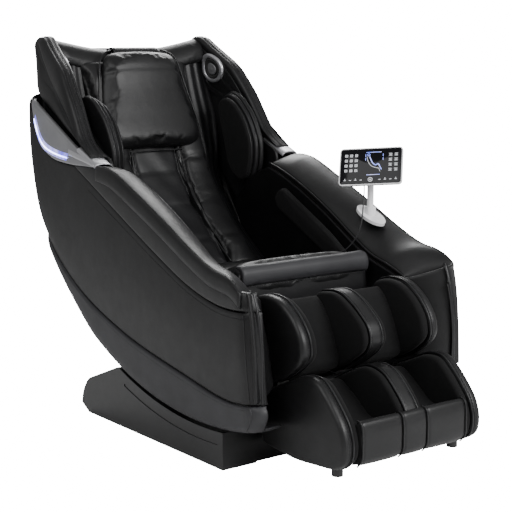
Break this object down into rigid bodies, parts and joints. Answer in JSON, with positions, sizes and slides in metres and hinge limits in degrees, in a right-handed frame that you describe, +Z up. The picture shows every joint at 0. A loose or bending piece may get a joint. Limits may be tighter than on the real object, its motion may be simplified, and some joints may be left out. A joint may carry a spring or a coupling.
{
  "type": "massage chair",
  "caption": "Cradle-shaped massage chair that glides on curved rails, with folding leg rest, sliding foot rest, head pillow, side wings and tablet remote.",
  "frame": {"origin": "on the floor, at the middle of the chair's box without the remote's cord", "axes": "+X towards the sitter's left, -Y towards the feet, +Z up"},
  "size_m": [0.77, 1.444, 1.1426],
  "materials": {
    "leather_black": "satin",
    "leather_grey": "satin",
    "fabric_black": "matte",
    "plastic_black": "satin",
    "plastic_silver": "satin",
    "plastic_white": "gloss",
    "light_guide": "gloss",
    "screen_glass": "gloss",
    "steel_painted": "satin",
    "steel_bright": "satin",
    "rubber": "matte",
    "nylon": "matte"
  },
  "bodies": {
    "base": {"base_pan": "steel_painted", "pan_ribs": "steel_painted", "base_cover_left": "plastic_black", "base_cover_right": "plastic_black", "base_rear_cover": "plastic_black", "base_front_cover": "plastic_black", "base_feet": "rubber", "glide_blocks": "nylon", "control_box": "plastic_black", "power_inlet": "plastic_black", "recline_gearmotor": "plastic_black"},
    "seat": {"rocker_rails": "steel_painted", "seat_frame": "steel_painted", "massage_track": "steel_bright", "led_strips": "light_guide", "back_cover": "leather_black", "seat_cushion": "leather_black", "back_cushion": "leather_black", "tablet_mount": "plastic_white", "remote_cord": "rubber", "remote_cord_coil": "rubber", "cord_socket": "rubber", "side_shell_left": "leather_black", "side_band_left": "leather_grey", "trim_left": "plastic_silver", "wing_left": "leather_black", "arm_pad_left": "leather_grey", "forearm_pad_left": "leather_black", "speaker_left": "plastic_silver", "shoulder_pad_left": "fabric_black", "side_shell_right": "leather_black", "side_band_right": "leather_grey", "trim_right": "plastic_silver", "wing_right": "leather_black", "arm_pad_right": "leather_grey", "forearm_pad_right": "leather_black", "speaker_right": "plastic_silver", "shoulder_pad_right": "fabric_black"},
    "drive_wheel": {"drive_wheel": "rubber"},
    "power_switch": {"power_switch": "plastic_black"},
    "transport_wheel_left": {"transport_wheel_left": "rubber"},
    "transport_wheel_right": {"transport_wheel_right": "rubber"},
    "massage_carriage": {"massage_carriage": "plastic_black"},
    "massage_rollers_upper": {"massage_rollers_upper": "plastic_black"},
    "massage_rollers_lower": {"massage_rollers_lower": "plastic_black"},
    "head_pillow": {"head_pillow": "leather_black"},
    "legrest": {"calf_shell": "fabric_black", "calf_side_left": "leather_black", "calf_side_right": "leather_black", "calf_divider": "leather_black"},
    "footrest": {"foot_shell": "leather_black", "foot_side_left": "leather_black", "foot_side_right": "leather_black", "foot_divider": "leather_black", "foot_glides": "rubber"},
    "foot_roller": {"foot_roller": "plastic_black"},
    "tablet_arm": {"tablet_post": "plastic_white", "cord_strain_relief": "rubber"},
    "tablet": {"tablet_case": "plastic_white", "tablet_screen": "screen_glass"}
  },
  "joints": [
    {"name": "recline_glide", "type": "hinge", "parent": "base", "child": "seat", "pos_m": [0, -0.258, 1.25], "axis": [-1, 0, 0], "range_deg": [0, 18]},
    {"name": "drive_wheel_spin", "type": "hinge", "parent": "base", "child": "drive_wheel", "pos_m": [0, -0.09983, 0.12456], "axis": [1, 0, 0], "range_deg": [0, 840]},
    {"name": "legrest_lift", "type": "hinge", "parent": "seat", "child": "legrest", "pos_m": [0, -0.345, 0.4], "axis": [-1, 0, 0], "range_deg": [0, 80]},
    {"name": "footrest_extend", "type": "slide", "parent": "legrest", "child": "footrest", "axis": [0, -0.5, -0.866], "range_m": [0, 0.12]},
    {"name": "foot_roller_spin", "type": "hinge", "parent": "footrest", "child": "foot_roller", "pos_m": [0, -0.6, 0.128], "axis": [1, 0, 0], "continuous": true},
    {"name": "pillow_flip", "type": "hinge", "parent": "seat", "child": "head_pillow", "pos_m": [0, 0.622, 1.098], "axis": [-1, 0, 0], "range_deg": [0, 90]},
    {"name": "carriage_climb", "type": "slide", "parent": "seat", "child": "massage_carriage", "axis": [0, 0.4258, 0.9048], "range_m": [-0.08, 0.18]},
    {"name": "roller_upper_spin", "type": "hinge", "parent": "massage_carriage", "child": "massage_rollers_upper", "pos_m": [0, 0.541, 0.72146], "axis": [1, 0, 0], "continuous": true},
    {"name": "roller_lower_spin", "type": "hinge", "parent": "massage_carriage", "child": "massage_rollers_lower", "pos_m": [0, 0.51715, 0.67079], "axis": [1, 0, 0], "continuous": true},
    {"name": "post_swivel", "type": "hinge", "parent": "seat", "child": "tablet_arm", "pos_m": [0.31, -0.19, 0.65], "axis": [0, 0, 1], "range_deg": [-40, 40]},
    {"name": "tablet_tilt", "type": "hinge", "parent": "tablet_arm", "child": "tablet", "pos_m": [0.3098, -0.1945, 0.7288], "axis": [-0.5736, 0.8192, 0], "range_deg": [-3, 25]},
    {"name": "power_switch_press", "type": "slide", "parent": "base", "child": "power_switch", "axis": [0, -1, 0], "range_m": [0, 0.003]},
    {"name": "wheel_left_spin", "type": "hinge", "parent": "base", "child": "transport_wheel_left", "pos_m": [0.215, 0.344, 0.034], "axis": [1, 0, 0], "continuous": true},
    {"name": "wheel_right_spin", "type": "hinge", "parent": "base", "child": "transport_wheel_right", "pos_m": [-0.215, 0.344, 0.034], "axis": [1, 0, 0], "continuous": true}
  ],
  "couplings": [
    {"joint": "drive_wheel_spin", "follows": "recline_glide", "ratio": 46.333}
  ]
}
